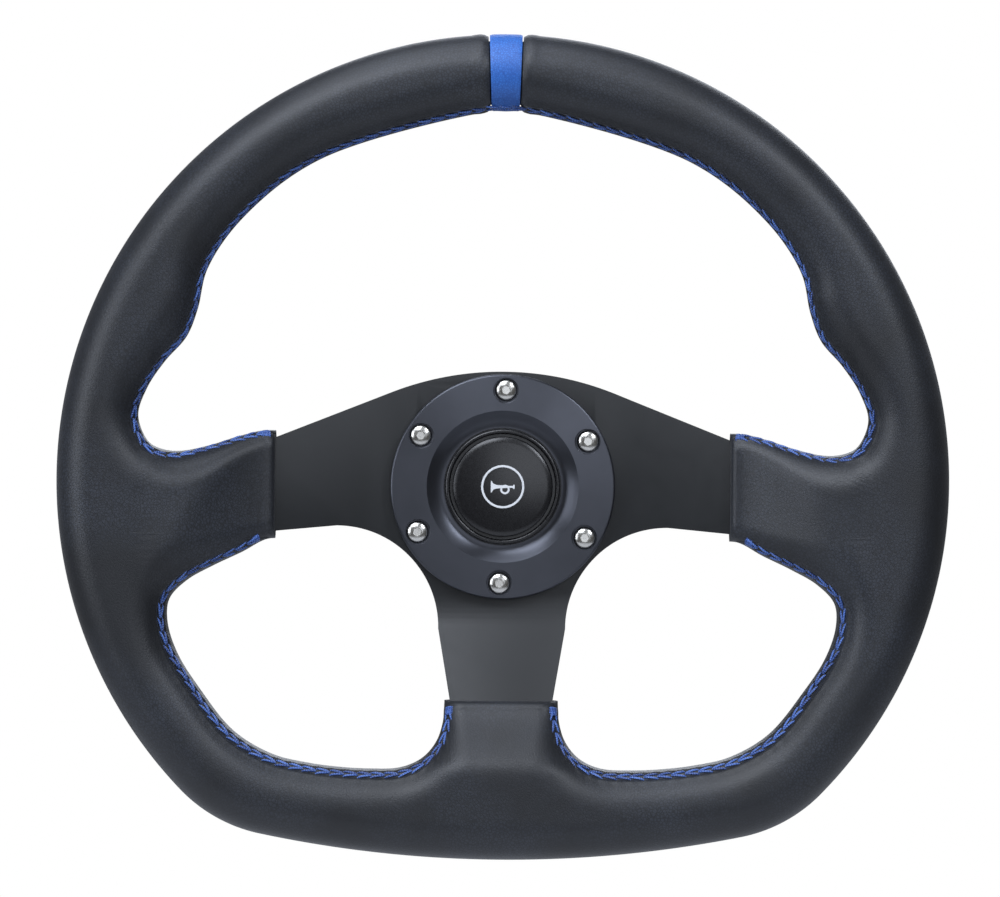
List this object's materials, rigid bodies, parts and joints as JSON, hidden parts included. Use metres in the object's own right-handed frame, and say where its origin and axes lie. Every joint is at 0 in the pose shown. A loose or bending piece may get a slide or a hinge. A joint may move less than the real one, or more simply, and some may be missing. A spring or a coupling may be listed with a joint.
{
  "type": "quick release steering wheel",
  "caption": "Padded steering wheel with a flat lower edge, dished spokes, a horn push and a ball-lock quick-release hub on a splined column base.",
  "frame": {"origin": "centre of the steering axis in the rear mounting face of the column base", "axes": "+Y along the steering axis towards the column, +Z towards the top of the rim, +X to the driver's right"},
  "size_m": [0.32, 0.0988, 0.2958],
  "materials": {
    "leather": "fine-grained matte",
    "blue_leather": "fine-grained matte",
    "thread": "twisted waxed thread",
    "foam": "moulded foam",
    "spring_steel": "plain steel",
    "screw_steel": "bright plated steel",
    "black_paint": "satin black powder coat",
    "black_anodised": "turned, black anodised",
    "silver_anodised": "turned, clear anodised",
    "gloss_black": "polished black",
    "matte_black": "matte black",
    "grey_plastic": "matte grey",
    "brass": "plain brass"
  },
  "bodies": {
    "column_base": {"base_hub": "silver_anodised", "contact_insulator": "matte_black", "contact_ring": "brass"},
    "wheel": {"quick_release_hub": "black_anodised", "snap_ring": "spring_steel", "collar_spring": "spring_steel", "spoke_plate": "black_paint", "rim_armature": "spring_steel", "rim_foam": "foam", "leather_left": "leather", "leather_right": "leather", "centre_stripe": "blue_leather", "stitch_upper": "thread", "stitch_lower_left": "thread", "stitch_lower_right": "thread", "trim_ring": "black_anodised", "ring_screw_1": "screw_steel", "ring_screw_2": "screw_steel", "ring_screw_3": "screw_steel", "ring_screw_4": "screw_steel", "ring_screw_5": "screw_steel", "ring_screw_6": "screw_steel", "horn_housing": "gloss_black", "horn_spring": "spring_steel", "contact_board": "grey_plastic", "live_contact": "brass", "earth_contact": "brass", "pin_bush": "grey_plastic", "pin_spring": "spring_steel"},
    "release_collar": {"release_collar": "black_anodised"},
    "lock_ball_1": {"lock_ball_1": "screw_steel"},
    "lock_ball_2": {"lock_ball_2": "screw_steel"},
    "lock_ball_3": {"lock_ball_3": "screw_steel"},
    "lock_ball_4": {"lock_ball_4": "screw_steel"},
    "lock_ball_5": {"lock_ball_5": "screw_steel"},
    "lock_ball_6": {"lock_ball_6": "screw_steel"},
    "horn_button": {"horn_cap": "gloss_black", "horn_emblem": "silver_anodised", "moving_contact": "brass"},
    "horn_pin": {"contact_pin": "brass"}
  },
  "joints": [
    {"name": "wheel_release", "type": "slide", "parent": "column_base", "child": "wheel", "axis": [0, -1, 0], "range_m": [0, 0.05]},
    {"name": "collar_lock", "type": "slide", "parent": "wheel", "child": "release_collar", "axis": [0, 1, 0], "range_m": [0, 0.006], "stiffness_N_per_m": 1500, "springref_m": 0.006, "deforming": ["collar_spring"]},
    {"name": "ball_1_travel", "type": "slide", "parent": "wheel", "child": "lock_ball_1", "axis": [-0.866, 0, -0.5], "range_m": [0, 0.0023]},
    {"name": "ball_2_travel", "type": "slide", "parent": "wheel", "child": "lock_ball_2", "axis": [0, 0, -1], "range_m": [0, 0.0023]},
    {"name": "ball_3_travel", "type": "slide", "parent": "wheel", "child": "lock_ball_3", "axis": [0.866, 0, -0.5], "range_m": [0, 0.0023]},
    {"name": "ball_4_travel", "type": "slide", "parent": "wheel", "child": "lock_ball_4", "axis": [0.866, 0, 0.5], "range_m": [0, 0.0023]},
    {"name": "ball_5_travel", "type": "slide", "parent": "wheel", "child": "lock_ball_5", "axis": [0, 0, 1], "range_m": [0, 0.0023]},
    {"name": "ball_6_travel", "type": "slide", "parent": "wheel", "child": "lock_ball_6", "axis": [-0.866, 0, 0.5], "range_m": [0, 0.0023]},
    {"name": "horn_press", "type": "slide", "parent": "wheel", "child": "horn_button", "axis": [0, 1, 0], "range_m": [0, 0.0018], "stiffness_N_per_m": 1500, "springref_m": -0.002, "deforming": ["horn_spring"]},
    {"name": "pin_travel", "type": "slide", "parent": "wheel", "child": "horn_pin", "axis": [0, -1, 0], "range_m": [0, 0.0015], "stiffness_N_per_m": 800, "springref_m": -0.001, "deforming": ["pin_spring"]}
  ],
  "couplings": [
    {"joint": "ball_1_travel", "follows": "collar_lock", "ratio": 0.38333},
    {"joint": "ball_2_travel", "follows": "collar_lock", "ratio": 0.38333},
    {"joint": "ball_3_travel", "follows": "collar_lock", "ratio": 0.38333},
    {"joint": "ball_4_travel", "follows": "collar_lock", "ratio": 0.38333},
    {"joint": "ball_5_travel", "follows": "collar_lock", "ratio": 0.38333},
    {"joint": "ball_6_travel", "follows": "collar_lock", "ratio": 0.38333}
  ]
}
